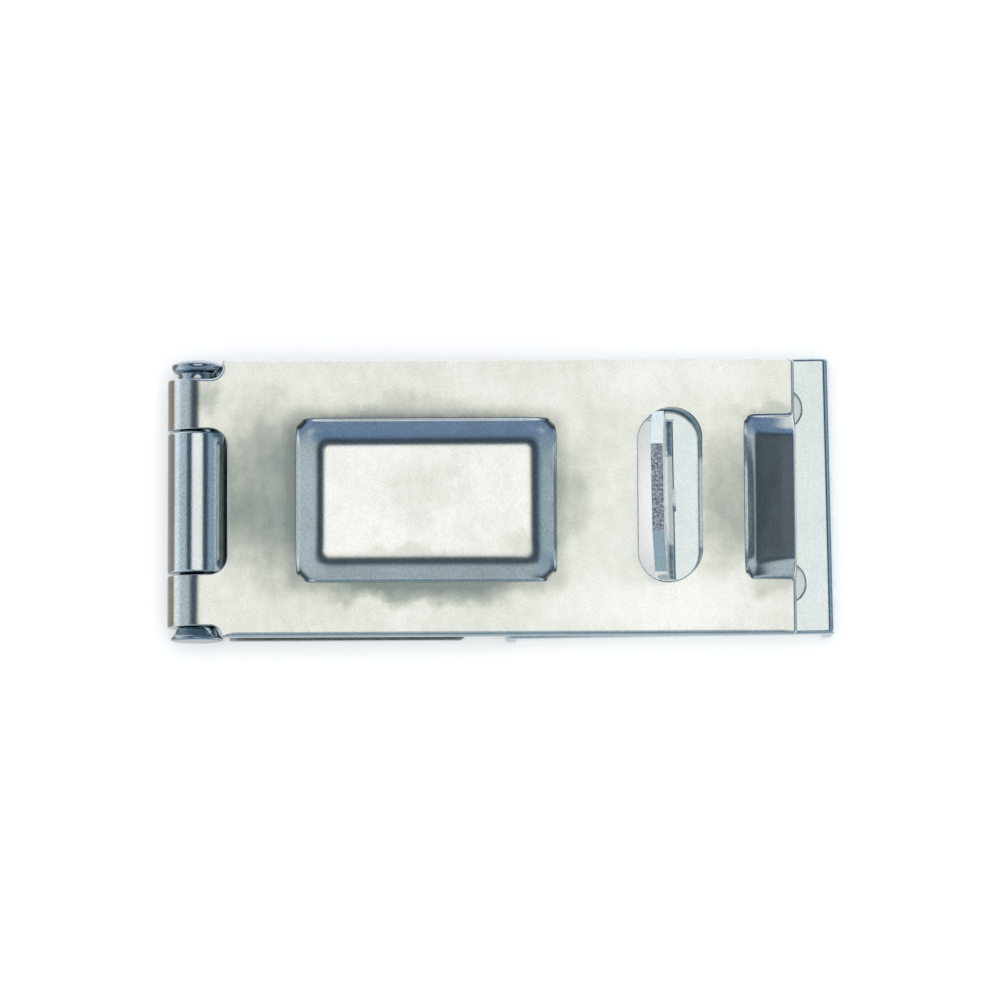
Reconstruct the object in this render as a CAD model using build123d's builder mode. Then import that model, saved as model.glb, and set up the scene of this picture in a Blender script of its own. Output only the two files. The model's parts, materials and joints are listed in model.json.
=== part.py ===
from build123d import *
from math import acos, cos, degrees, radians, sin, tan
import os

# A padlock hasp, closed and lying on its back.
# X runs from the hinge barrel to the staple plate's far end, Y across the plates,
# Z up from the mounting surface. Millimetres and degrees.

# Sheet and plates
gauge = 1.6                 # thickness of all three plates
plate_width = 38.0          # across leaf, hinge plate and staple plate
overall_length = 91.4       # barrel's outside to the staple plate's far end
edge_round = 0.55           # soft edge left on the face side by the shear
die_shift = 0.4             # the dies ran this far off the strip's middle, towards -Y

# Hinge barrel
knuckle_radius = 4.1
knuckle_opening = 70.0      # left open between a knuckle's end and its sheet
middle_knuckle = 19.3       # length along the pin, on the hinge plate
barrel_inset = 2.0          # the leaf's knuckles end this far inside the plates' edges
knuckle_gap = 0.35          # end play between neighbours
notch_gap = 0.2             # sheet's edge past the barrel's outside
notch_corner = 2.5

# Hinge pin
pin_clearance = 0.05        # radial
head_gap = 0.1              # between a head and the outer knuckle
head_radius = 3.6
head_neck = 0.25            # start of the head's cone beyond the shank
dome_cone_height = 1.9      # the domed head's cone, and the dome on it
dome_height = 0.95
flare_cone_height = 1.45    # the flared head's cone, and the rim on it
flare_rim_height = 0.3
head_notch_reach = 3.6      # corner notch in the leaf, from the hinge axis
head_notch_corner = 1.6

# Leaf
leaf_inset = 5.45           # free end, short of the staple plate's far end
leaf_corner = 0.7

# Raised panel on the leaf
panel_reach = 31.5          # hinge axis to panel centre
panel_length = 35.4         # along X at its foot
panel_width = 22.4          # along Y at its foot
panel_corner = 3.0          # at its foot
panel_top_corner = 1.2
panel_height = 2.0
panel_slope = 28.0          # walls, from the sheet
panel_crease = 0.5          # radius where the walls meet the sheet
panel_brow = 2.6            # radius round the plateau

# Finger lift at the free end
lift_length = 6.9
lift_width = 22.4
lift_corner = 2.2           # at its foot
lift_top_corner = 0.6
lift_slope = 32.0           # walls, from the sheet
lift_step = 0.9             # height where the ramp starts
lift_ramp = 15.0            # ramp, from the sheet

# Slot for the staple
slot_inset = 17.35          # slot centre, from the leaf's free end
slot_width = 8.15
slot_clearance = 0.85       # past each side of the staple

# Hinge plate
plate_gap = 5.3             # between the hinge plate and the staple plate
hinge_plate_corner = 1.0

# Staple plate
staple_plate_length = 45.25
staple_turn = 0.65          # it lies turned a little under the leaf
rest_gap = 0.15             # between the leaf's underside and the plate
bend_inside = 0.4           # its two end bends, struck tight in the die
bend_outside = 1.2

# Staple cut from the plate and bent up
rail_width = 7.85           # plate left on each side of the staple's opening
staple_height = 15.9        # above the plate
staple_lean = 5.2           # short of upright, so it tips towards the hinge
staple_bend_inside = 0.8
staple_shoulder = 5.0       # cut off its upper corners
staple_setback = 0.2        # its far face at the foot, from the slot's centre
lance_gap = 0.3             # cut round the staple's blank

# Padlock eye
eye_width = 12.3
eye_web = 4.0               # metal above the eye
eye_floor_angle = 62.0      # how far round the bend the eye reaches

# Screw holes
screw_radius = 2.75
screw_spacing = 24.0        # between holes, across the plate
near_screw_reach = 11.75    # hinge axis to the hinge plate's first pair
far_screw_inset = 7.0       # second pair, from the hinge plate's free edge
outer_screw_inset = 6.9     # from the staple plate's far end
rail_screw_radius = 2.3     # hidden pair beside the staple's opening
rail_screw_edge = 3.8       # from the staple plate's long edges
rail_screw_inset = 8.2      # from the staple plate's near end
hole_round = 0.3

# Places worked out from the sizes above
hinge_x = knuckle_radius - overall_length / 2
hinge_z = knuckle_radius
bore_radius = knuckle_radius - gauge
leaf_top = 2 * knuckle_radius
leaf_under = leaf_top - gauge
leaf_end = overall_length / 2 - leaf_inset
leaf_reach = leaf_end - hinge_x
panel_x = hinge_x + panel_reach
slot_x = leaf_end - slot_inset
half_width = plate_width / 2
shift_y = -die_shift
notch_reach = knuckle_radius + notch_gap
notch_half = middle_knuckle / 2 + knuckle_gap
knuckle_end = half_width - barrel_inset
outer_knuckle = knuckle_end - notch_half
hinge_plate_reach = overall_length / 2 - staple_plate_length - plate_gap - hinge_x
staple_width = plate_width - 2 * (rail_width + lance_gap)
slot_length = staple_width + 2 * slot_clearance

hinge_section = Plane(origin=(hinge_x, shift_y, hinge_z), x_dir=(1, 0, 0), z_dir=(0, -1, 0))


# Corners of a wedge that fans out from a centre, between two angles
def wedge(centre, reach, start, end):
    rays = [
        (centre[0] + reach * cos(radians(turn)), centre[1] + reach * sin(radians(turn)))
        for turn in (start, end)
    ]
    return [centre, *rays]


# Section of a curled knuckle, open between two angles seen along the pin
def knuckle_ring(open_from, open_to):
    Circle(knuckle_radius)
    Circle(bore_radius, mode=Mode.SUBTRACT)
    mouth = wedge((0, 0), 2 * knuckle_radius, open_from, open_to)
    Polygon(*mouth, align=None, mode=Mode.SUBTRACT)


# Faces of a part that lie flat at one height
def flats_at(part, height):
    flats = part.faces().filter_by(Axis.Z)
    return flats.filter_by(lambda face: abs(face.center().Z - height) < 0.01)


# Round edges of one radius
def rims_of(edges, radius):
    rims = edges.filter_by(GeomType.CIRCLE)
    return rims.filter_by(lambda edge: abs(edge.radius - radius) < 0.01)


# Hinge pin, one head domed and one flared by riveting
shank_radius = bore_radius - pin_clearance
neck_radius = shank_radius + head_neck
head_foot = knuckle_end + head_gap
dome_widest = head_foot + dome_cone_height
dome_end = dome_widest + dome_height
dome_radius = (head_radius**2 + dome_height**2) / (2 * dome_height)
dome_start = degrees(acos(head_radius / dome_radius))
flare_widest = head_foot + flare_cone_height
flare_end = flare_widest + flare_rim_height

with BuildPart() as hinge_pin:
    with BuildSketch(Plane(origin=(hinge_x, shift_y, hinge_z))):
        with BuildLine():
            shank = Line((shank_radius, -head_foot), (shank_radius, head_foot))
            dome_neck = Line(shank @ 1, (neck_radius, head_foot))
            dome_cone = Line(dome_neck @ 1, (head_radius, dome_widest))
            dome = CenterArc((0, dome_end - dome_radius), dome_radius, dome_start, 90 - dome_start)
            middle = Line(dome @ 1, (0, -flare_end))
            flat = Line(middle @ 1, (head_radius - head_neck, -flare_end))
            rim = Line(flat @ 1, (head_radius, -flare_widest))
            flare = Line(rim @ 1, (neck_radius, -head_foot))
            Line(flare @ 1, shank @ 0)
        make_face()
    revolve(axis=Axis((hinge_x, shift_y, hinge_z), (0, 1, 0)))

# Hinge plate, flat on the surface, with the middle knuckle curled up over the pin
with BuildPart() as hinge_plate:
    with BuildSketch() as blank:
        with Locations((hinge_x + hinge_plate_reach / 2, 0)):
            Rectangle(hinge_plate_reach, plate_width)
        for side in (-1, 1):
            with Locations((hinge_x, shift_y + side * (plate_width + middle_knuckle) / 2)):
                Rectangle(2 * notch_reach, plate_width, mode=Mode.SUBTRACT)
        fillet(blank.vertices().group_by(Axis.X)[-1], radius=hinge_plate_corner)
    extrude(amount=gauge)
    with BuildSketch(hinge_section):
        knuckle_ring(-90, knuckle_opening - 90)
    extrude(amount=middle_knuckle / 2, both=True)
    for reach in (near_screw_reach, hinge_plate_reach - far_screw_inset):
        with Locations((hinge_x + reach, 0, gauge)):
            with GridLocations(1, screw_spacing, 1, 2):
                Hole(screw_radius)
    hole_rims = rims_of(flats_at(hinge_plate, gauge).edges(), screw_radius)
    knuckle_rims = rims_of(hinge_plate.edges(), knuckle_radius)
    fillet(hole_rims + knuckle_rims, radius=hole_round)

# Raised forms of the leaf, each used once for its face and once for the hollow behind it
panel_inset = panel_height / tan(radians(panel_slope))
with BuildPart() as panel_form:
    with BuildSketch(Plane.XY.offset(leaf_top)):
        with Locations((panel_x, shift_y)):
            RectangleRounded(panel_length, panel_width, panel_corner)
    with BuildSketch(Plane.XY.offset(leaf_top + panel_height)):
        with Locations((panel_x, shift_y)):
            RectangleRounded(
                panel_length - 2 * panel_inset, panel_width - 2 * panel_inset, panel_top_corner
            )
    loft()
    fillet(panel_form.faces().sort_by(Axis.Z)[-1].edges(), radius=panel_brow)

wall_run = lift_step / tan(radians(lift_slope))
ramp_run = lift_length - wall_run
ramp_rise = ramp_run * tan(radians(lift_ramp))
lift_height = lift_step + ramp_rise
lift_inset = lift_height / tan(radians(lift_slope))
with BuildPart() as lift_form:
    with BuildSketch(Plane.XY.offset(leaf_top)):
        with Locations((leaf_end, shift_y / 2)):
            RectangleRounded(2 * lift_length, lift_width, lift_corner)
    with BuildSketch(Plane.XY.offset(leaf_top + lift_height)):
        with Locations((leaf_end, shift_y / 2)):
            RectangleRounded(
                2 * (lift_length - lift_inset), lift_width - 2 * lift_inset, lift_top_corner
            )
    loft()
    # cut away what stands above the ramp
    with BuildSketch(Plane.XZ):
        Polygon(
            (leaf_end - 2 * ramp_run, leaf_top + lift_step - ramp_rise),
            (leaf_end, leaf_top + lift_height),
            (leaf_end - 2 * ramp_run, leaf_top + lift_height),
            align=None,
        )
    extrude(amount=half_width, both=True, mode=Mode.SUBTRACT)

# Leaf, with its two knuckles curled down round the pin
with BuildPart() as hasp_leaf:
    with BuildSketch(Plane.XY.offset(leaf_under)) as blank:
        with Locations((hinge_x + leaf_reach / 2, 0)):
            Rectangle(leaf_reach, plate_width)
        with Locations((hinge_x, shift_y)):
            RectangleRounded(2 * notch_reach, 2 * notch_half, notch_corner, mode=Mode.SUBTRACT)
        for side in (-1, 1):
            with Locations((hinge_x, shift_y + side * 2 * knuckle_end)):
                RectangleRounded(
                    2 * head_notch_reach, 2 * knuckle_end, head_notch_corner, mode=Mode.SUBTRACT
                )
        fillet(blank.vertices().group_by(Axis.X)[-1], radius=leaf_corner)
        with Locations((slot_x, 0)):
            SlotOverall(slot_length, slot_width, rotation=90, mode=Mode.SUBTRACT)
    extrude(amount=gauge)
    for side in (-1, 1):
        with BuildSketch(hinge_section.offset(side * (notch_half + outer_knuckle / 2))):
            knuckle_ring(90 - knuckle_opening, 90)
        extrude(amount=outer_knuckle / 2, both=True)
    # soft edge round the face side
    face_edges = flats_at(hasp_leaf, leaf_top).edges()
    knuckle_lines = face_edges.filter_by(
        lambda edge: edge.geom_type == GeomType.LINE and abs(edge.center().X - hinge_x) < 0.01
    )
    fillet(face_edges - knuckle_lines, radius=edge_round)
    # raised panel
    add(panel_form.part)
    foot_edges = flats_at(hasp_leaf, leaf_top).edges().filter_by(
        lambda edge: abs(edge.center().X - panel_x) < panel_length / 2 + 0.01
        and abs(edge.center().Y - shift_y) < panel_width / 2 + 0.01
    )
    fillet(foot_edges, radius=panel_crease)
    add(panel_form.part.moved(Location((0, 0, -gauge))), mode=Mode.SUBTRACT)
    # finger lift, open at the free end
    add(lift_form.part)
    add(lift_form.part.moved(Location((0, 0, -gauge))), mode=Mode.SUBTRACT)
    end_lean = lift_height * tan(radians(lift_ramp))
    with BuildSketch(Plane.XZ):
        Polygon(
            (leaf_end, 0),
            (leaf_end, leaf_top),
            (leaf_end - end_lean, leaf_top + lift_height),
            (leaf_end + 2 * lift_length, leaf_top + lift_height),
            (leaf_end + 2 * lift_length, 0),
            align=None,
        )
    extrude(amount=half_width, both=True, mode=Mode.SUBTRACT)

# Staple plate, a bridge under the leaf's free end with its staple bent up from the middle
bridge_top = leaf_under - rest_gap
turn =radians(staple_turn)
turned_reach = (staple_plate_length * cos(turn) + plate_width * sin(turn)) / 2
bridge_x = overall_length / 2 - turned_reach
bridge = Plane(origin=(bridge_x, 0, 0), x_dir=(cos(turn), sin(turn), 0), z_dir=(0, 0, 1))
bridge_section = Plane(origin=bridge.origin, x_dir=bridge.x_dir, z_dir=-bridge.y_dir)

# The staple's bend, seen along Y: its centre, and where the upright leaves it
lean = radians(staple_lean)
bend_x = slot_x + staple_setback + staple_bend_inside - bridge_x
bend_z = bridge_top + staple_bend_inside
bend_outer = staple_bend_inside + gauge
bend_middle = staple_bend_inside + gauge / 2
bend_angle = 90 - staple_lean
upright = (staple_height - staple_bend_inside + bend_middle * sin(lean)) / cos(lean)
blank_length = radians(bend_angle) * bend_middle + upright
window_length = blank_length + lance_gap
window_x = bend_x - window_length / 2

# The upright's own plane, across it and up it, with its origin at the end of the bend
foot_x = bend_x - bend_middle * cos(lean)
foot_z = bend_z - bend_middle * sin(lean)
upright_foot = bridge_section.from_local_coords((foot_x, foot_z, -shift_y))
upright_face = Plane(
    origin=upright_foot,
    x_dir=bridge.y_dir,
    z_dir=bridge.x_dir * cos(lean) + Vector(0, 0, sin(lean)),
)
eye_radius = eye_width / 2
eye_spring = upright - eye_web - eye_radius

with BuildPart() as staple_plate:
    with BuildSketch(bridge_section) as arch:
        Rectangle(staple_plate_length, bridge_top, align=(Align.CENTER, Align.MIN))
        fillet(arch.vertices().group_by(Axis.Y)[-1], radius=bend_outside)
    extrude(amount=half_width, both=True)
    with BuildSketch(bridge_section) as hollow:
        Rectangle(
            staple_plate_length - 2 * gauge,
            bridge_top - gauge,
            align=(Align.CENTER, Align.MIN),
        )
        fillet(hollow.vertices().group_by(Axis.Y)[-1], radius=bend_inside)
    extrude(amount=half_width, both=True, mode=Mode.SUBTRACT)
    # screw holes: the pair at the far end, and the pair beside the opening
    with BuildSketch(bridge.offset(bridge_top)):
        with Locations((staple_plate_length / 2 - outer_screw_inset, 0)):
            with GridLocations(1, screw_spacing, 1, 2):
                Circle(screw_radius)
        with Locations((rail_screw_inset - staple_plate_length / 2, 0)):
            with GridLocations(1, plate_width - 2 * rail_screw_edge, 1, 2):
                Circle(rail_screw_radius)
    extrude(amount=-gauge, mode=Mode.SUBTRACT)
    # soft edge round the face side and the holes
    top_edges = flats_at(staple_plate, bridge_top).edges()
    top_lines = top_edges.filter_by(
        lambda edge: abs(abs(bridge.to_local_coords(edge.center()).Y) - half_width) < 0.01
    )
    bend_rims = rims_of(staple_plate.edges(), bend_outside)
    fillet(top_lines + bend_rims, radius=edge_round)
    hole_rims = flats_at(staple_plate, bridge_top).edges().filter_by(GeomType.CIRCLE)
    fillet(hole_rims, radius=hole_round)
    # opening that the staple was cut from
    with BuildSketch(bridge.offset(bridge_top)):
        with Locations((window_x, shift_y)):
            Rectangle(window_length, staple_width + 2 * lance_gap)
    extrude(amount=-gauge, mode=Mode.SUBTRACT)
    # staple, bent up about its foot
    with BuildSketch(bridge_section.offset(-shift_y)):
        with BuildLine():
            inner = CenterArc((bend_x, bend_z), staple_bend_inside, -90, -bend_angle)
            outer = CenterArc((bend_x, bend_z), bend_outer, -90, -bend_angle)
            Line(inner @ 0, outer @ 0)
            inner_side = PolarLine(inner @ 1, upright, 90 + staple_lean)
            outer_side = PolarLine(outer @ 1, upright, 90 + staple_lean)
            Line(inner_side @ 1, outer_side @ 1)
        make_face()
    extrude(amount=staple_width / 2, both=True)
    top_edges = staple_plate.faces().sort_by(Axis.Z)[-1].edges()
    chamfer(top_edges.sort_by(SortBy.LENGTH)[:2], length=staple_shoulder)
    # padlock eye, an arch that reaches down round the bend
    with BuildSketch(upright_face):
        Rectangle(eye_width, eye_spring, align=(Align.CENTER, Align.MIN))
        with Locations((0, eye_spring)):
            Circle(eye_radius)
    extrude(amount=gauge, both=True, mode=Mode.SUBTRACT)
    eye_start = 180 + staple_lean
    with BuildSketch(bridge_section.offset(-shift_y)):
        mouth = wedge((bend_x, bend_z), 2 * bend_outer, eye_start, eye_start + eye_floor_angle)
        Polygon(*mouth, align=None)
    extrude(amount=eye_radius, both=True, mode=Mode.SUBTRACT)

os.makedirs("parts", exist_ok=True)
hasp_leaf.part.label = "hasp_leaf"
export_step(hasp_leaf.part, "parts/hasp_leaf.step")
hinge_plate.part.label = "hinge_plate"
export_step(hinge_plate.part, "parts/hinge_plate.step")
hinge_pin.part.label = "hinge_pin"
export_step(hinge_pin.part, "parts/hinge_pin.step")
staple_plate.part.label = "staple_plate"
export_step(staple_plate.part, "parts/staple_plate.step")
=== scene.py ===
import json
import math

import bpy
from mathutils import Euler, Matrix, Vector, geometry, kdtree


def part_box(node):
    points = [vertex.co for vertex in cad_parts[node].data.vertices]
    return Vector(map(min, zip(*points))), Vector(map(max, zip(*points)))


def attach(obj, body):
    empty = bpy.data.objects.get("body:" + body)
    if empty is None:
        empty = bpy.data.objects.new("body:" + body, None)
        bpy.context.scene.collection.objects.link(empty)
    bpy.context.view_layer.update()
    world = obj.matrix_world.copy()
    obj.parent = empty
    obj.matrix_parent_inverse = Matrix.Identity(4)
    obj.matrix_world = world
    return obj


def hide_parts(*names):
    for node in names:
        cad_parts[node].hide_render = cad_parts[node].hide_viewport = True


mm = 0.001

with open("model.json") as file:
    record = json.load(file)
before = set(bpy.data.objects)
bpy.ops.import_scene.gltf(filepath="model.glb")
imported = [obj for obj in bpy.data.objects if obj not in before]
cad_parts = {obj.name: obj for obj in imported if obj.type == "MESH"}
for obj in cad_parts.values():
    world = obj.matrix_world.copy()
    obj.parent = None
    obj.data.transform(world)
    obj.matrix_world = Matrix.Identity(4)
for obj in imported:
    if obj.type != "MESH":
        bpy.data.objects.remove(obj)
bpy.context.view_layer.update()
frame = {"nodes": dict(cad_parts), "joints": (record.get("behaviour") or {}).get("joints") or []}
nodes = frame["nodes"]
print("frame loaded:", ", ".join(sorted(nodes)))


# Node trees


def newMaterial(name):
    material = bpy.data.materials.new(name)
    material.use_nodes = True
    tree = material.node_tree
    tree.nodes.clear()
    return material, tree


def addNode(tree, kind, inputs=None, **settings):
    node = tree.nodes.new(kind)
    for key, value in settings.items():
        setattr(node, key, value)
    for key, value in (inputs or {}).items():
        if isinstance(value, bpy.types.NodeSocket):
            tree.links.new(value, node.inputs[key])
        else:
            node.inputs[key].default_value = value
    return node


def maths(tree, operation, a, b=0.0):
    return addNode(tree, "ShaderNodeMath", {0: a, 1: b}, operation=operation).outputs[0]


def vectorMaths(tree, operation, a, b):
    return addNode(tree, "ShaderNodeVectorMath", {0: a, 1: b}, operation=operation).outputs[0]


def scaled(tree, vector, amount):
    node = addNode(tree, "ShaderNodeVectorMath", {0: vector, "Scale": amount}, operation="SCALE")
    return node.outputs[0]


def blendColour(tree, share, a, b):
    mix = addNode(tree, "ShaderNodeMix", {0: share, 6: a, 7: b}, data_type="RGBA")
    return mix.outputs[2]


def smoothStep(tree, value, low, high):
    step = addNode(
        tree,
        "ShaderNodeMapRange",
        {"Value": value, "From Min": low, "From Max": high},
        interpolation_type="SMOOTHSTEP",
    )
    return step.outputs["Result"]


def noise(tree, place, size, detail=2.0, roughness=0.5):  # size of one lump, in metres
    return addNode(
        tree,
        "ShaderNodeTexNoise",
        {"Vector": place, "Scale": 1 / size, "Detail": detail, "Roughness": roughness},
    ).outputs[0]


# Camera, as the photograph was taken: almost straight down, tipped a little to the lower long edge

photo = {
    "distance": 0.62,
    "frameWidth": 136.4 * mm,  # what the picture spans at the leaf's face
    "tilt": math.radians(6.6),
    "roll": math.radians(-0.28),
    "target": Vector((-0.07, -0.45, 8.2)) * mm,
}


def makeCamera():
    camera = bpy.data.objects.new("camera", bpy.data.cameras.new("camera"))
    bpy.context.scene.collection.objects.link(camera)
    camera.data.sensor_width = 36
    camera.data.lens = 36 * photo["distance"] / photo["frameWidth"]
    turned = Euler((photo["tilt"], 0, 0)).to_matrix() @ Matrix.Rotation(photo["roll"], 3, "Z")
    camera.matrix_world = turned.to_4x4()
    camera.location = photo["target"] - turned @ Vector((0, 0, -1)) * photo["distance"]
    camera.data.clip_start = 0.05
    camera.data.clip_end = 5
    bpy.context.scene.camera = camera


makeCamera()
bpy.context.scene.view_settings.view_transform = "Standard"
print("camera placed")


# Studio: a soft light straight overhead, a darker ceiling round it and pale walls

studio = {
    "overhead": (1.03, 1.03, 0.985, 1),
    "ceiling": (0.04, 0.065, 0.095, 1),
    "front": ((0.43, 0.52, 0.58, 1), (0.34, 0.44, 0.51, 1)),  # each wall high up, then low down
    "left": ((0.47, 0.56, 0.63, 1), (0.85, 0.92, 1.0, 1)),
    "right": ((0.28, 0.40, 0.50, 1), (0.17, 0.21, 0.27, 1)),
    "back": ((0.15, 0.24, 0.39, 1), (0.80, 0.86, 0.92, 1)),
    "lowDown": (62, 80),  # degrees from straight up
    "overheadEdge": 21.5,
    "overheadShift": 2.5,  # it reaches further to the right than to the left
    "wallEdge": 42,
    "wallShift": 3,
    "softness": 3,
    "sideCorners": (0.15, 0.95),  # how far to a side each wall starts and has taken over
    "backCorners": (0.2, 0.9),
}


def makeWorld():
    world = bpy.data.worlds.new("studio")
    bpy.context.scene.world = world
    world.use_nodes = True
    tree = world.node_tree
    tree.nodes.clear()
    direction = addNode(tree, "ShaderNodeTexCoord").outputs["Generated"]
    axes = addNode(tree, "ShaderNodeSeparateXYZ", {0: direction}).outputs
    fromTop = maths(tree, "MULTIPLY", maths(tree, "ARCCOSINE", axes["Z"]), 180 / math.pi)
    squared = maths(tree, "MULTIPLY", axes["Z"], axes["Z"])
    level = maths(tree, "SQRT", maths(tree, "SUBTRACT", 1.0001, squared))  # never quite 0
    rightward = maths(tree, "DIVIDE", axes["X"], level)
    backward = maths(tree, "DIVIDE", axes["Y"], level)
    low = smoothStep(tree, fromTop, *studio["lowDown"])
    tones = {side: blendColour(tree, low, *studio[side]) for side in ("front", "left", "right", "back")}
    near, far = studio["sideCorners"]
    wall = blendColour(tree, smoothStep(tree, rightward, -near, -far), tones["front"], tones["left"])
    wall = blendColour(tree, smoothStep(tree, rightward, near, far), wall, tones["right"])
    wall = blendColour(tree, smoothStep(tree, backward, *studio["backCorners"]), wall, tones["back"])
    soft = studio["softness"]
    edge = studio["wallEdge"]
    shift = maths(tree, "MULTIPLY", rightward, studio["wallShift"])
    wallPlace = maths(tree, "SUBTRACT", fromTop, shift)
    sky = blendColour(
        tree, smoothStep(tree, wallPlace, edge - 2 * soft, edge + 2 * soft), studio["ceiling"], wall
    )
    edge = studio["overheadEdge"]
    shift = maths(tree, "MULTIPLY", rightward, studio["overheadShift"])
    lightPlace = maths(tree, "SUBTRACT", fromTop, shift)
    sky = blendColour(tree, smoothStep(tree, lightPlace, edge + soft, edge - soft), sky, studio["overhead"])
    camera = addNode(tree, "ShaderNodeLightPath").outputs["Is Camera Ray"]
    sky = blendColour(tree, camera, sky, (1, 1, 1, 1))
    shade = addNode(tree, "ShaderNodeBackground", {"Color": sky, "Strength": 1.0})
    addNode(tree, "ShaderNodeOutputWorld", {"Surface": shade.outputs[0]})


floor = {
    "colour": (0.88, 0.86, 0.835, 1),
    "glow": 0.33,  # for the camera and for mirrored rays only
    "reach": 4.0,
}


def makeFloor():
    material, tree = newMaterial("paleFloor")
    path = addNode(tree, "ShaderNodeLightPath").outputs
    seen = maths(tree, "MAXIMUM", path["Is Camera Ray"], path["Is Glossy Ray"])
    seen = maths(tree, "MAXIMUM", seen, path["Is Transmission Ray"])
    matt = addNode(tree, "ShaderNodeBsdfDiffuse", {"Color": floor["colour"]})
    strength = maths(tree, "MULTIPLY", seen, floor["glow"])
    glow = addNode(tree, "ShaderNodeEmission", {"Color": (1, 1, 1, 1), "Strength": strength})
    both = addNode(tree, "ShaderNodeAddShader", {0: matt.outputs[0], 1: glow.outputs[0]})
    addNode(tree, "ShaderNodeOutputMaterial", {"Surface": both.outputs[0]})
    mesh = bpy.data.meshes.new("floor")
    reach = floor["reach"]
    corners = [(-reach, -reach, 0), (reach, -reach, 0), (reach, reach, 0), (-reach, reach, 0)]
    mesh.from_pydata(corners, [], [(0, 1, 2, 3)])
    mesh.materials.append(material)
    plane = bpy.data.objects.new("floor", mesh)
    bpy.context.scene.collection.objects.link(plane)


lamp = {
    "size": 1.1,
    "power": 6,  # watts
    "place": Vector((0.1, -0.05, 1.0)),
}


def makeLamp():
    light = bpy.data.lights.new("overheadLamp", "AREA")
    light.shape = "DISK"
    light.size = lamp["size"]
    light.energy = lamp["power"]
    holder = bpy.data.objects.new("overheadLamp", light)
    bpy.context.scene.collection.objects.link(holder)
    holder.location = lamp["place"]
    holder.rotation_euler = (-holder.location).to_track_quat("-Z", "Y").to_euler()
    holder.visible_glossy = False  # the metal mirrors the studio, this lamp lights the floor


makeWorld()
makeFloor()
makeLamp()
print("studio ready")


# Finishes

zinc = {
    "cloudSize": 9 * mm,
    "spangleSize": 1.6 * mm,
    "grainSize": 0.21 * mm,
    "streak": (1.0, 0.6, 1.0),  # the frost is drawn out across the strip
    "grainTone": 0.34,
    "formedGrain": 2.2,  # the grain's contrast on formed and upright faces, where it's 1 on level ones
    "roughness": 0.17,
    "grainDepth": 0.0045 * mm,
    "wanderSize": 4 * mm,  # how the painted patches' edges stray
    "wander": 6 * mm,
    "level": (0.95, 0.985),  # the normal's upward part on a face that counts as level
    # painted highlight: the panel's raised plateau is made lighter
    "plateauTone": 0.16,
    "ringReach": 2.4 * mm,  # painted shade reaches this far outside the drawn panel's foot
    "ringTone": -0.3,
    "barrelSide": (0.27, 0.22, 0.185, 1),  # painted shade where the barrel's far flank turns down, as if it mirrored the shadowed floor beneath
    "barrelTurn": (-0.66, -0.76),  # the normal's part along X there
    "barrelEnd": (0.8 * mm, -0.5 * mm),  # from the hinge's axis
    "shearedSide": (0.36, 0.45, 0.52, 1),  # painted shade on the long edges that face the front, as if they mirrored the shadowed floor
    "shearedTurn": (-0.5, -0.7),  # the normal's part along Y there
    "shearedHeight": (1 * mm, 0),  # above the leaf's flat face
}
leafZinc = {
    "stops": (
        (0.0, (0.25, 0.295, 0.28, 1)),
        (0.35, (0.46, 0.50, 0.465, 1)),
        (0.7, (0.745, 0.765, 0.725, 1)),
        (1.0, (0.93, 0.94, 0.945, 1)),
    ),
    "plain": 0.76,
    "clouds": 0.45,
    "spangles": 0.3,
    # painted shade and painted reflection: darker and lighter patches along the panel's feet and over the
    # flat face: x, y, reach x, reach y in mm, change of tone
    "patches": (
        (-30.8, 1.0, 12.0, 17.0, -0.62),
        (-10.2, -12.3, 19.0, 3.6, -0.6),
        (-10.8, 11.8, 18.0, 3.2, -0.2),
        (-39.8, 14.0, 3.2, 3.6, -0.35),
        (-38.0, 0.0, 3.0, 11.0, -0.2),
        (9.0, 0.0, 4.6, 8.0, -0.25),
        (32.0, 0.5, 8.2, 14.0, -0.44),
        (36.5, 12.0, 5.5, 2.0, -0.25),
        (37.0, -12.6, 5.5, 3.0, -0.28),
        (22.0, -15.2, 22.0, 6.5, 0.2),
        (22.0, 16.0, 16.0, 6.0, 0.14),
    ),
    # painted reflection: darker patches on the plateau
    "topPatches": (
        (-10.2, -0.4, 8.0, 6.0, -0.14),
        (3.0, -7.0, 5.0, 3.4, -0.22),
        (-12.0, -8.0, 12.0, 1.6, -0.2),
    ),
}
plateZinc = {
    "stops": (
        (0.0, (0.40, 0.47, 0.48, 1)),
        (0.5, (0.64, 0.71, 0.71, 1)),
        (0.8, (0.73, 0.805, 0.83, 1)),
        (1.0, (0.82, 0.88, 0.91, 1)),
    ),
    "plain": 0.76,
    "clouds": 0.4,
    "spangles": 0.3,
    "patches": (),
    "topPatches": (),
}
# painted shade: the pin gets a darker copy of the zinc plating so its heads read dark
shadedPinZinc = {
    "stops": (
        (0.0, (0.16, 0.20, 0.24, 1)),
        (0.5, (0.34, 0.40, 0.45, 1)),
        (0.8, (0.47, 0.545, 0.60, 1)),
        (1.0, (0.62, 0.69, 0.74, 1)),
    ),
    "plain": 0.72,
    "clouds": 0.5,
    "spangles": 0.8,
    "patches": (),
    "topPatches": (),
}
shearedTop = {
    "dark": (0.10, 0.125, 0.155, 1),
    "bright": (0.50, 0.57, 0.66, 1),
    "fleck": 0.32 * mm,
    "contrast": (0.36, 0.74),
    "level": (0.9, 0.98),
    "depth": 0.35 * mm,
}


def patch(tree, place, x, y, reachX, reachY):
    away = vectorMaths(tree, "SUBTRACT", place, (x * mm, y * mm, 0))
    away = vectorMaths(tree, "MULTIPLY", away, (1 / (reachX * mm), 1 / (reachY * mm), 0))
    length = addNode(tree, "ShaderNodeVectorMath", {0: away}, operation="LENGTH").outputs["Value"]
    return smoothStep(tree, length, 1.0, 0.25)
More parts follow.
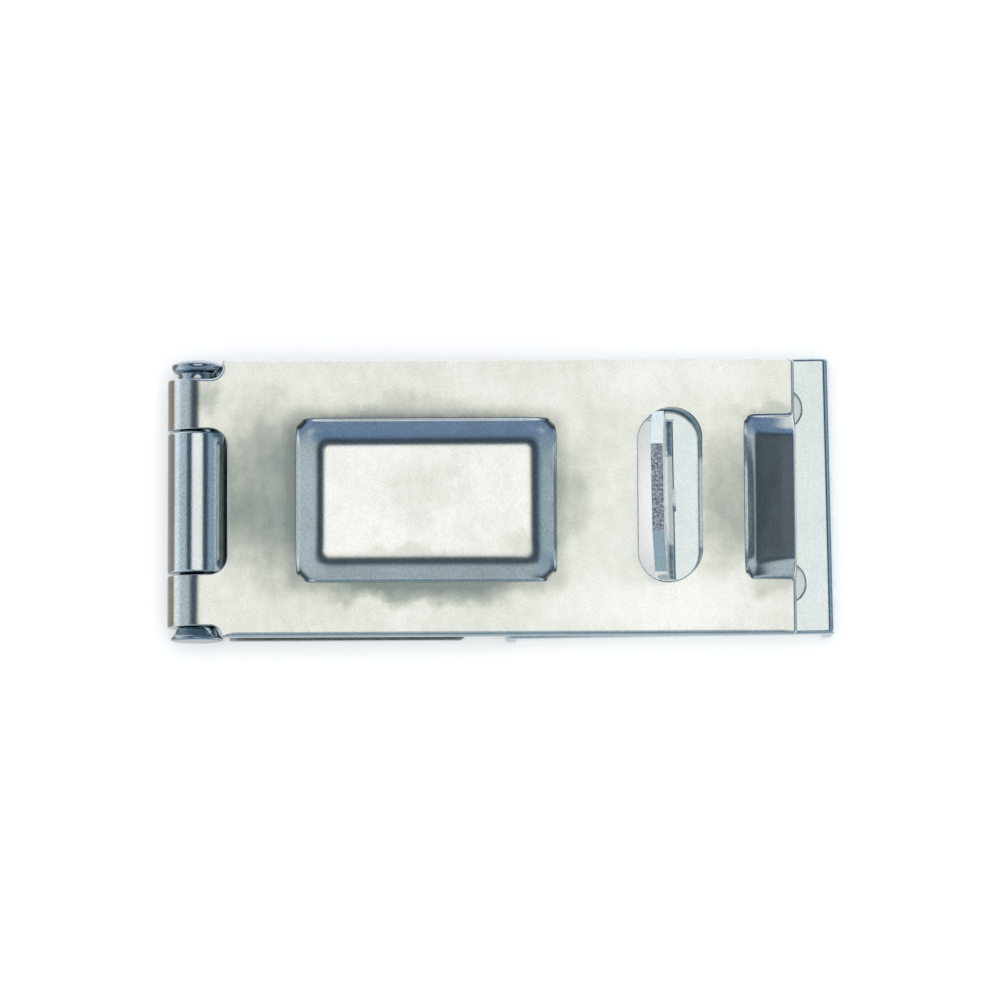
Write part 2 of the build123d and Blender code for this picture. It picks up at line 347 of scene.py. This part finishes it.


# Painted shade along the drawn panel's foot, fading outward from it
def panelFootShade(tree, place):
    away = vectorMaths(tree, "SUBTRACT", place, (leaf["hingeX"] + panel["reach"], leaf["shift"], 0))
    away = vectorMaths(tree, "MULTIPLY", away, (1, 1, 0))
    away = addNode(tree, "ShaderNodeVectorMath", {0: away}, operation="ABSOLUTE").outputs[0]
    away = vectorMaths(tree, "SUBTRACT", away, (panel["length"] / 2, panel["width"] / 2, 0))
    away = vectorMaths(tree, "MAXIMUM", away, (0, 0, 0))
    length = addNode(tree, "ShaderNodeVectorMath", {0: away}, operation="LENGTH").outputs["Value"]
    return smoothStep(tree, length, zinc["ringReach"], 0.0)


# Darkens a colour by a painted shade colour where share is 1
def paintedShade(tree, share, colour, shadeColour):
    mix = addNode(
        tree, "ShaderNodeMix", {0: share, 6: colour, 7: shadeColour}, data_type="RGBA", blend_type="MULTIPLY"
    )
    return mix.outputs[2]


# The tone of the plating, from 0 for dull and dark to 1 for bright, with painted shade, painted reflection
# and a painted highlight worked into it
def platingTone(tree, look, raised, source, axes, level):
    place = source["Object"]
    drawn = vectorMaths(tree, "MULTIPLY", place, zinc["streak"])
    lumps = {"Vector": place, "Scale": 1 / zinc["wanderSize"], "Detail": 3.0}
    wander = addNode(tree, "ShaderNodeTexNoise", lumps).outputs["Color"]
    shifted = vectorMaths(tree, "SUBTRACT", wander, (0.5, 0.5, 0.5))
    loose = vectorMaths(tree, "ADD", place, scaled(tree, shifted, zinc["wander"]))
    cloud = maths(tree, "SUBTRACT", noise(tree, place, zinc["cloudSize"], 4.0, 0.6), 0.5)
    spangle = maths(tree, "SUBTRACT", noise(tree, drawn, zinc["spangleSize"], 3.0, 0.65), 0.5)
    tone = maths(tree, "ADD", maths(tree, "MULTIPLY", cloud, look["clouds"]), look["plain"])
    tone = maths(tree, "ADD", tone, maths(tree, "MULTIPLY", spangle, look["spangles"]))
    top = smoothStep(tree, axes["Z"], *raised) if raised else 0.0
    below = maths(tree, "MULTIPLY", level, maths(tree, "SUBTRACT", 1.0, top))
    # painted shade and painted reflection patches, on the level faces and on the plateau
    for where, spots in ((below, look["patches"]), (top, look["topPatches"])):
        for *spot, change in spots:
            share = maths(tree, "MULTIPLY", patch(tree, loose, *spot), where)
            tone = maths(tree, "ADD", tone, maths(tree, "MULTIPLY", share, change))
    if raised:
        # painted shade darkens the flat round the panel's foot
        strength = maths(tree, "MULTIPLY", below, zinc["ringTone"])
        ring = maths(tree, "MULTIPLY", panelFootShade(tree, place), strength)
        tone = maths(tree, "ADD", tone, ring)
        # painted highlight on the raised plateau
        tone = maths(tree, "ADD", tone, maths(tree, "MULTIPLY", top, zinc["plateauTone"]))
    return tone


def toned(tree, tone, stops):
    node = addNode(tree, "ShaderNodeValToRGB", {0: tone})
    ramp = node.color_ramp
    while len(ramp.elements) < len(stops):
        ramp.elements.new(0.5)
    for stop, (position, value) in zip(ramp.elements, stops):
        stop.position = position
        stop.color = value
    return node.outputs[0]


# The staple's top, torn rather than cut
def tornTop(tree, colour, place, axes, normal):
    grain = noise(tree, place, shearedTop["fleck"], 3.0, 0.7)
    fleck = smoothStep(tree, grain, *shearedTop["contrast"])
    rough = blendColour(tree, fleck, shearedTop["dark"], shearedTop["bright"])
    up = smoothStep(tree, normal["Z"], *shearedTop["level"])
    depth = shearedTop["depth"]
    high = smoothStep(tree, axes["Z"], plateTop - 2 * depth, plateTop - depth)
    return blendColour(tree, maths(tree, "MULTIPLY", up, high), colour, rough)


def zincPlate(name, look, raised=None, sheared=False):
    material, tree = newMaterial(name)
    source = addNode(tree, "ShaderNodeTexCoord").outputs
    place = source["Object"]
    axes = addNode(tree, "ShaderNodeSeparateXYZ", {0: place}).outputs
    normal = addNode(tree, "ShaderNodeSeparateXYZ", {0: source["Normal"]}).outputs
    level = smoothStep(tree, normal["Z"], *zinc["level"])
    tone = platingTone(tree, look, raised, source, axes, level)
    colour = toned(tree, tone, look["stops"])
    if sheared:
        colour = tornTop(tree, colour, place, axes, normal)
    # Painted shade on the barrel's far flank
    past, before = zinc["barrelEnd"]
    atBarrel = smoothStep(tree, axes["X"], leaf["hingeX"] + past, leaf["hingeX"] + before)
    farFlank = smoothStep(tree, normal["X"], *zinc["barrelTurn"])
    colour = paintedShade(tree, maths(tree, "MULTIPLY", atBarrel, farFlank), colour, zinc["barrelSide"])
    # Painted shade on the edges that face the front
    frontFace = smoothStep(tree, normal["Y"], *zinc["shearedTurn"])
    above, down = zinc["shearedHeight"]
    edges = smoothStep(tree, axes["Z"], leafTop + above, leafTop + down)
    colour = paintedShade(tree, maths(tree, "MULTIPLY", frontFace, edges), colour, zinc["shearedSide"])
    grain = noise(tree, vectorMaths(tree, "MULTIPLY", place, zinc["streak"]), zinc["grainSize"], 2.0, 0.6)
    formed = maths(tree, "MULTIPLY", level, zinc["formedGrain"] - 1)
    formed = maths(tree, "SUBTRACT", zinc["formedGrain"], formed)
    mottle = maths(tree, "MULTIPLY", maths(tree, "SUBTRACT", grain, 0.5), zinc["grainTone"])
    shine = maths(tree, "ADD", maths(tree, "MULTIPLY", mottle, formed), 1.0)
    bump = {"Height": grain, "Distance": zinc["grainDepth"], "Strength": 1.0}
    metal = {
        "Base Color": scaled(tree, colour, shine),
        "Metallic": 1.0,
        "Roughness": zinc["roughness"],
        "Normal": addNode(tree, "ShaderNodeBump", bump).outputs[0],
    }
    surface = addNode(tree, "ShaderNodeBsdfPrincipled", metal).outputs[0]
    addNode(tree, "ShaderNodeOutputMaterial", {"Surface": surface})
    return material


# The leaf as it was stamped: one sheet, drawn up into the panel and the lift, its edges rolled over

joint = frame["joints"][0]["pos_m"]
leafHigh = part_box("hasp_leaf")[1]
leafTop = 2 * joint[2]
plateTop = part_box("staple_plate")[1][2]
leaf = {
    "hingeX": joint[0],
    "hingeZ": joint[2],
    "curl": joint[2] - 0.002 * mm,  # outer radius of its knuckles
    "shoulder": 1.2 * mm,  # the knuckles begin to turn down this far past the hinge axis
    "end": leafHigh[0],
    "half": leafHigh[1],
    "shift": -0.4 * mm,  # the dies ran off the strip's middle
    "gauge": 1.6 * mm,
    "corner": 0.6 * mm,
    "knuckleEnd": 17.0 * mm,
    "notchHalf": 10.0 * mm,
    "notchReach": 4.3 * mm,
    "notchCorner": 2.5 * mm,
    "headReach": 3.6 * mm,
    "headCorner": 1.6 * mm,
    "curlOpening": math.radians(70),
    "slotInset": 17.35 * mm,
    "slotWidth": 8.15 * mm,
    "slotLength": 23.4 * mm,
    "edgeStep": 0.5 * mm,  # between points along an edge
    "fieldStep": 0.85 * mm,
    "wallStep": 0.26 * mm,
    "creaseStep": 0.09 * mm,
    "creaseBand": (0.2 * mm, 0.5 * mm),  # outside and inside a foot
    "guard": 0.06 * mm,  # a last ring of points on the flat beside each rolled edge
}
rolls = {  # how far the shear rolled each edge over: across the face, and down the side
    "frontEdge": (0.62 * mm, 1.15 * mm),
    "backEdge": (0.3 * mm, 1.1 * mm),
    "freeEnd": (0.45 * mm, 0.8 * mm),
    "headNotch": (0.5 * mm, 0.7 * mm),
    "cutEdge": (0.13 * mm, 0.13 * mm),
    "slotThin": (0.15 * mm, 0.2 * mm),
    "slotThick": (0.8 * mm, 1.35 * mm),
    "slotThickAt": math.radians(40),
    "angles": (12, 27, 43, 60, 90),  # degrees round the roll where it has a ring of points
    "squareCorner": (0.7 * mm, 0.9 * mm),  # the corners beside the pin's heads aren't rolled
}
panel = {
    "reach": 31.5 * mm,  # hinge axis to its centre
    "length": 35.4 * mm,
    "width": 22.4 * mm,
    "height": 2.0 * mm,
    "brim": (0.3 * mm, 0.05 * mm),  # what lies between these depths below it turns to the plateau's look
    "halo": 2.2 * mm,  # the sheet begins to rise this far outside the foot
    "haloSlope": math.radians(7.5),
    "crease": 0.34 * mm,
    "creaseSlope": math.radians(52),
    "wallSlope": math.radians(26.5),
    "brow": 2.7 * mm,
    "topSlope": 0,
    "crown": 0.05 * mm,
    "bandRun": 4.4 * mm,  # the grid is finer this far up the walls
    "cornerReach": 2.6 * mm,  # the creases fade out this near the corners
    "toe": 0.5 * mm,
}
lift = {
    "length": 6.9 * mm,
    "width": 22.4 * mm,
    "wall": 0.8 * mm,
    "cornerReach": 1.6 * mm,
    "toe": 0.3 * mm,
    "halo": 1.0 * mm,
    "haloSlope": math.radians(6),
    "crease": 0.26 * mm,
    "creaseSlope": math.radians(50),
    "wallSlope": math.radians(27),
    "brow": 0.6 * mm,
    "topSlope": math.radians(14),
}
liftSide = {
    "halo": 1.0 * mm,
    "haloSlope": math.radians(6),
    "crease": 0.26 * mm,
    "creaseSlope": math.radians(50),
    "wallSlope": math.radians(27),
    "brow": 1.3 * mm,
    "topSlope": 0,
    "rise": 1.5 * mm,
    "cornerReach": 1.6 * mm,
    "toe": 0.3 * mm,
}


plateau = [leafTop + panel["height"] - below for below in panel["brim"]]
finishes = {
    "hasp_leaf": zincPlate("platedLeaf", leafZinc, raised=plateau),
    "hinge_plate": zincPlate("platedPlate", plateZinc),
    "hinge_pin": zincPlate("platedPin", shadedPinZinc),
    "staple_plate": zincPlate("platedStaple", plateZinc, sheared=True),
}
for name, piece in nodes.items():
    piece.data.materials.clear()
    piece.data.materials.append(finishes[name])
print("finishes on")


def arcPoints(centre, radius, start, end, step):
    turn = abs(end - start)
    count = max(2, math.ceil(turn * radius / step), math.ceil(turn / math.radians(12)))
    return [
        (
            centre[0] + radius * math.cos(start + (end - start) * i / count),
            centre[1] + radius * math.sin(start + (end - start) * i / count),
        )
        for i in range(count + 1)
    ]


# corners: (x, y, radius) in order, anticlockwise
def closedLoop(corners, step):
    points = []
    count = len(corners)
    for i, (x, y, radius) in enumerate(corners):
        before = Vector(corners[i - 1][:2])
        after = Vector(corners[(i + 1) % count][:2])
        here = Vector((x, y))
        a = (before - here).normalized()
        b = (after - here).normalized()
        if radius <= 0:
            points.append((here.x, here.y))
            continue
        half = a.angle(b) / 2
        centre = here + (a + b).normalized() * radius / math.sin(half)
        first = here + a * radius / math.tan(half) - centre
        last = here + b * radius / math.tan(half) - centre
        start = math.atan2(first.y, first.x)
        turn = math.atan2(first.x * last.y - first.y * last.x, first.dot(last))
        points += arcPoints(centre, radius, start, start + turn, step / 2)
    loop = []
    for i, point in enumerate(points):
        here = Vector(point)
        after = Vector(points[(i + 1) % len(points)])
        pieces = max(1, round((after - here).length / step))
        loop += [tuple(here.lerp(after, k / pieces)) for k in range(pieces)]
    return loop


def insetLoop(loop, distances):
    inner = []
    count = len(loop)
    for i in range(count):
        before = Vector(loop[i - 1])
        here = Vector(loop[i])
        after = Vector(loop[(i + 1) % count])
        a = (here - before).normalized()
        b = (after - here).normalized()
        normal = Vector((-a.y - b.y, a.x + b.x)).normalized()
        spread = max(0.5, math.sqrt((1 + a.dot(b)) / 2))
        inner.append(tuple(here + normal * distances[i] / spread))
    return inner


def eased(values, rounds):
    for _ in range(rounds):
        count = len(values)
        values = [(values[i - 1] + 2 * values[i] + values[(i + 1) % count]) / 4 for i in range(count)]
    return values


# The curl: an oval shoulder on top, then a plain ring round the pin

curlMiddle = leaf["hingeZ"] - leaf["gauge"] / 2
curlStart = leaf["hingeX"] + leaf["shoulder"]
curlEnd = curlStart - (2 * math.pi - leaf["curlOpening"]) * curlMiddle


def curledPoint(x, depth):
    turn = math.pi / 2 + (curlStart - x) / curlMiddle
    outer = leaf["curl"]
    bore = outer - leaf["gauge"]
    oval = leaf["shoulder"] if turn < math.pi else 0
    face = Vector((oval + (outer + oval) * math.cos(turn), outer * math.sin(turn)))
    back = Vector((oval + (bore + oval) * math.cos(turn), bore * math.sin(turn)))
    if back.length < bore:
        back *= bore / back.length
    point = face.lerp(back, depth / leaf["gauge"])
    return leaf["hingeX"] + point.x, leaf["hingeZ"] + point.y


def leafOutline():
    x = leaf["hingeX"]
    notch = x + leaf["notchReach"]
    head = x + leaf["headReach"]
    end = leaf["end"]
    half = leaf["half"]
    shift = leaf["shift"]
    low = shift - leaf["knuckleEnd"]
    high = shift + leaf["knuckleEnd"]
    inner = leaf["notchHalf"]
    corners = [
        (head, -half, 0),
        (end, -half, leaf["corner"]),
        (end, half, leaf["corner"]),
        (head, half, 0),
        (head, high, leaf["headCorner"]),
        (curlEnd, high, 0),
        (curlEnd, shift + inner, 0),
        (notch, shift + inner, leaf["notchCorner"]),
        (notch, shift - inner, leaf["notchCorner"]),
        (curlEnd, shift - inner, 0),
        (curlEnd, low, 0),
        (head, low, leaf["headCorner"]),
    ]
    return closedLoop(corners, leaf["edgeStep"])


def outlineRoll(x, y):
    near = 0.05 * mm
    if x > leaf["end"] - leaf["corner"]:
        return rolls["freeEnd"]
    inward, onward = rolls["squareCorner"]
    if abs(y) > leaf["half"] - inward and x < leaf["hingeX"] + leaf["headReach"] + onward:
        return rolls["cutEdge"]
    if y < near - leaf["half"]:
        return rolls["frontEdge"]
    if y > leaf["half"] - near:
        return rolls["backEdge"]
    if y > leaf["shift"] + leaf["knuckleEnd"] - near and x > leaf["hingeX"]:
        return rolls["headNotch"]
    return rolls["cutEdge"]


def slotOutline():
    x = leaf["end"] - leaf["slotInset"]
    radius = leaf["slotWidth"] / 2
    reach = leaf["slotLength"] / 2
    corners = [(x - radius, -reach), (x - radius, reach), (x + radius, reach), (x + radius, -reach)]
    return closedLoop([(a, b, radius * 0.999) for a, b in corners], leaf["edgeStep"] * 0.7)


def slotRoll(loop, i):
    before = Vector(loop[i - 1])
    after = Vector(loop[(i + 1) % len(loop)])
    along = (after - before).normalized()
    thick = rolls["slotThickAt"]
    toward = -along.y * math.cos(thick) + along.x * math.sin(thick)
    share = max(0, toward) ** 1.3
    return [a + (b - a) * share for a, b in zip(rolls["slotThin"], rolls["slotThick"])]


# Height of a drawn form this far inside its foot, over a wall of the given run
def drawnHeight(d, form, wall):
    halo = form["halo"]
    height = 0.0
    if d > -halo:
        run = min(d, 0) + halo
        height += math.tan(form["haloSlope"]) * run * run / (2 * halo)
    if d <= 0:
        return height
    height += min(d, form["crease"]) * math.tan(form["creaseSlope"])
    d -= form["crease"]
    if d <= 0:
        return height
    slope = math.tan(form["wallSlope"])
    top = math.tan(form["topSlope"])
    height += slope * min(d, wall)
    d -= wall
    if d > 0:
        run = min(d, form["brow"])
        height += slope * run - (slope - top) * run * run / (2 * form["brow"])
        height += top * (d - run)
    return height


def wallRun(form, rise):
    slope = math.tan(form["wallSlope"])
    foot = math.tan(form["haloSlope"]) * form["halo"] / 2 + math.tan(form["creaseSlope"]) * form["crease"]
    return max(0, (rise - foot) / slope - form["brow"] / 2)


def ease(value):
    value = min(1, max(0, value))
    return value * value * (3 - 2 * value)


# The same, but near a corner of the form, where the other side's foot is close, the crease fades
def cornered(d, other, form, wall):
    hard = drawnHeight(d, form, wall)
    run = form["crease"] + wall + form["brow"]
    toe = form["toe"]
    soft = ease((d + toe) / (run + toe)) * drawnHeight(max(d, run), form, wall)
    return soft + (hard - soft) * ease(other / form["cornerReach"])


panelWall = wallRun(panel, panel["height"])
liftWall = wallRun(liftSide, liftSide["rise"])


# How far the stamped sheet stands above its flat face
def sheetHeight(x, y):
    panelX = leaf["hingeX"] + panel["reach"]
    dx = panel["length"] / 2 - abs(x - panelX)
    dy = panel["width"] / 2 - abs(y - leaf["shift"])
    height = 0.0
    if min(dx, dy) > -panel["halo"]:
        rise = panel["height"]
        height = cornered(dx, dy, panel, panelWall) * cornered(dy, dx, panel, panelWall) / rise
        u = (x - panelX) / (panel["length"] / 2)
        v = (y - leaf["shift"]) / (panel["width"] / 2)
        height -= panel["crown"] * min(1, u * u + v * v) * height / rise
    dx = x - leaf["end"] + lift["length"]
    dy = lift["width"] / 2 - abs(y - leaf["shift"] / 2)
    if min(dx, dy) > -lift["halo"]:
        side = cornered(dy, dx, liftSide, liftWall) / liftSide["rise"]
        height += cornered(dx, dy, lift, lift["wall"]) * side
    return height


# A point of the flat blank, carried onto the stamped and curled leaf
def placeOnLeaf(x, y, depth):
    if x >= curlStart:
        return (x, y, leaf["hingeZ"] + leaf["curl"] + sheetHeight(x, y) - depth)
    curledX, curledZ = curledPoint(x, depth)
    return (curledX, y, curledZ)


def insideLoops(x, y, loops):
    crossings = 0
    for loop in loops:
        for i in range(len(loop)):
            ax, ay = loop[i - 1]
            bx, by = loop[i]
            if (ay > y) != (by > y) and x < ax + (y - ay) / (by - ay) * (bx - ax):
                crossings += 1
    return crossings % 2 == 1


def crossingsAt(y, loops):
    found = []
    for loop in loops:
        for i in range(len(loop)):
            ax, ay = loop[i - 1]
            bx, by = loop[i]
            if (ay > y) != (by > y):
                found.append(ax + (y - ay) / (by - ay) * (bx - ax))
    return sorted(found)


# Rising values from low to high, closer together inside the bands
def gridStops(low, high, bands):
    stops = [low]
    while stops[-1] < high:
        here = stops[-1]
        step = leaf["fieldStep"]
        for start, end, fine in bands:
            if start <= here < end:
                step = min(step, fine)
            elif here < start:
                step = min(step, max(start - here, fine))
        stops.append(here + step)
    return stops


def footBands(foot, way, halo, run):
    fine = leaf["creaseStep"]
    below, above = leaf["creaseBand"]
    crease = sorted((foot - way * below, foot + way * above))
    wall = sorted((foot - way * halo, foot + way * run))
    return [(*crease, fine), (*wall, leaf["wallStep"])]


def leafGrid():
    panelX = leaf["hingeX"] + panel["reach"]
    shift = leaf["shift"]
    reachX = panel["length"] / 2
    reachY = panel["width"] / 2
    run = panel["bandRun"]
    bandsX = footBands(panelX - reachX, 1, panel["halo"], run)
    bandsX += footBands(panelX + reachX, -1, panel["halo"], run)
    bandsX += footBands(leaf["end"] - lift["length"], 1, lift["halo"], lift["length"])
    bandsX.append((curlEnd, curlStart + 0.5 * mm, leaf["wallStep"]))
    bandsY = footBands(shift - reachY, 1, panel["halo"], run)
    bandsY += footBands(shift + reachY, -1, panel["halo"], run)
    columns = gridStops(curlEnd, leaf["end"], bandsX)
    rows = gridStops(-leaf["half"], leaf["half"], bandsY)
    return columns, rows


def ringEdges(ring):
    return [(ring[i], ring[(i + 1) % len(ring)]) for i in range(len(ring))]


# Points on the flat blank round each loop, ring inside ring, and how deep the shear rolled each down
def rolledRings(loops, rollSizes):
    rings = {"points": [], "depths": [], "edges": [], "widths": [], "rims": [], "brinks": []}
    points = rings["points"]
    depths = rings["depths"]
    for loop, sizes in zip(loops, rollSizes):
        across = eased([size[0] for size in sizes], 2)
        down = eased([size[1] for size in sizes], 2)
        rim = range(len(points), len(points) + len(loop))
        points += loop
        depths += down
        for angle in rolls["angles"]:
            turn = math.radians(angle)
            inward = 1 - math.cos(turn)
            points += insetLoop(loop, [size * inward for size in across])
            share = 1 - math.sin(turn)
            depths += [size * share for size in down]
        brink = range(len(points) - len(loop), len(points))
        points += insetLoop(loop, [size + leaf["guard"] for size in across])
        depths += [0.0] * len(loop)
        rings["widths"] += across
        rings["rims"].append(rim)
        rings["brinks"].append(brink)
        rings["edges"] += ringEdges(rim) + ringEdges(brink)
    return rings


# Points of the grid on the blank, clear of the rolled edges
def fieldPoints(loops, widths):
    edgePoints = [point for loop in loops for point in loop]
    tree = kdtree.KDTree(len(edgePoints))
    for i, (x, y) in enumerate(edgePoints):
        tree.insert((x, y, 0), i)
    tree.balance()
    columns, rows = leafGrid()
    field = []
    for y in rows:
        spans = crossingsAt(y, loops)
        for x in columns:
            if sum(1 for span in spans if span > x) % 2 == 0:
                continue
            _, nearest, away = tree.find((x, y, 0))
            clear = math.hypot(widths[nearest] + 2.5 * leaf["guard"], leaf["edgeStep"] / 2)
            if away >= clear:
                field.append((x, y))
    return field


# Leaves out the triangles that bridge a bay or the slot: all their corners are on a rim
def onSheet(face, verts, rimPoints, loops):
    if not all(i in rimPoints for i in face):
        return True
    a, b, c = (verts[i] for i in face)
    centre = (a + b + c) / 3 * mm
    return insideLoops(centre.x, centre.y, loops)


def makeLeaf():
    outline = leafOutline()
    slot = slotOutline()
    loops = [outline, slot]
    outlineRolls = [outlineRoll(x, y) for x, y in outline]
    slotRolls = [slotRoll(slot, i) for i in range(len(slot))]
    rings = rolledRings(loops, (outlineRolls, slotRolls))
    field = fieldPoints(loops, rings["widths"])
    depths = rings["depths"] + [0.0] * len(field)
    flat = [Vector((x / mm, y / mm)) for x, y in rings["points"] + field]
    verts, _, faces, origins, _, _ = geometry.delaunay_2d_cdt(flat, rings["edges"], [], 0, 1e-5)
    index = {old: new for new, olds in enumerate(origins) for old in olds}
    depth = [max((depths[old] for old in olds), default=0.0) for olds in origins]
    rims = [[index[i] for i in rim] for rim in rings["rims"]]
    rimPoints = {i for rim in rims for i in rim}
    kept = [tuple(face) for face in faces if onSheet(face, verts, rimPoints, loops)]

    count = len(verts)
    upper = [placeOnLeaf(v.x * mm, v.y * mm, depth[i]) for i, v in enumerate(verts)]
    lower = [placeOnLeaf(v.x * mm, v.y * mm, leaf["gauge"]) for v in verts]
    sheets = kept + [tuple(count + i for i in reversed(face)) for face in kept]
    sharp = set()
    for rim in rims:
        for a, b in ringEdges(rim):
            sheets.append((b, a, count + a, count + b))
            sharp.add(tuple(sorted((count + a, count + b))))
    for brink in rings["brinks"]:
        sharp |= {tuple(sorted((index[a], index[b]))) for a, b in ringEdges(brink)}
    mesh = bpy.data.meshes.new("leaf")
    mesh.from_pydata(upper + lower, [], sheets)
    mesh.update()
    piece = bpy.data.objects.new("stampedLeaf", mesh)
    bpy.context.scene.collection.objects.link(piece)
    mesh.materials.append(finishes["hasp_leaf"])
    mesh.polygons.foreach_set("use_smooth", [True] * len(mesh.polygons))
    for edge in mesh.edges:
        edge.use_edge_sharp = tuple(sorted(edge.vertices)) in sharp
    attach(piece, "leaf")
    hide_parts("hasp_leaf")
    print("leaf:", len(mesh.vertices), "points,", len(mesh.polygons), "faces")


makeLeaf()


# The pin, turned about its axis: each point is its radius and its place along the barrel, in mm
pin = {
    "sides": 96,
    "flare": (  # the riveted end, from its middle in to the barrel
        (0, -18.85),
        (3.2, -18.85),
        (3.45, -18.8),
        (3.58, -18.68),
        (3.6, -18.55),
        (3.5, -18.35),
        (3.2, -18.0),
        (2.95, -17.6),
        (2.75, -17.2),
        (2.62, -17.08),
        (2.44, -17.06),
    ),
    "head": (  # a thin lens on a collar, from the barrel out to the dome's middle
        (2.44, 17.06),
        (2.68, 17.1),
        (2.7, 17.2),
        (2.7, 17.85),
        (2.8, 17.98),
        (3.0, 18.07),
        (3.25, 18.24),
        (3.46, 18.5),
        (3.57, 18.78),
        (3.6, 19.0),
        (3.56, 19.12),
        (3.4, 19.27),
        (3.1, 19.42),
        (2.6, 19.59),
        (1.9, 19.76),
        (1.0, 19.9),
        (0, 19.94),
    ),
}


def makePin():
    mesh = bpy.data.meshes.new("pin")
    sides = pin["sides"]
    centre = Vector((leaf["hingeX"], leaf["shift"], leaf["hingeZ"]))
    points = []
    rings = []
    for radius, along in pin["flare"] + pin["head"]:
        first = len(points)
        count = sides if radius else 1
        for i in range(count):
            turn = 2 * math.pi * i / sides
            place = Vector((radius * math.sin(turn), along, radius * math.cos(turn)))
            points.append(place * mm + centre)
        rings.append([first + i % count for i in range(sides + 1)])
    faces = []
    for ring, after in zip(rings, rings[1:]):
        for i in range(sides):
            corners = (ring[i], after[i], after[i + 1], ring[i + 1])
            faces.append(tuple(dict.fromkeys(corners)))
    mesh.from_pydata(points, [], faces)
    mesh.materials.append(finishes["hinge_pin"])
    mesh.polygons.foreach_set("use_smooth", [True] * len(mesh.polygons))
    piece = bpy.data.objects.new("headedPin", mesh)
    bpy.context.scene.collection.objects.link(piece)
    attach(piece, "base")
    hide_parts("hinge_pin")
    print("pin:", len(mesh.polygons), "faces")


makePin()
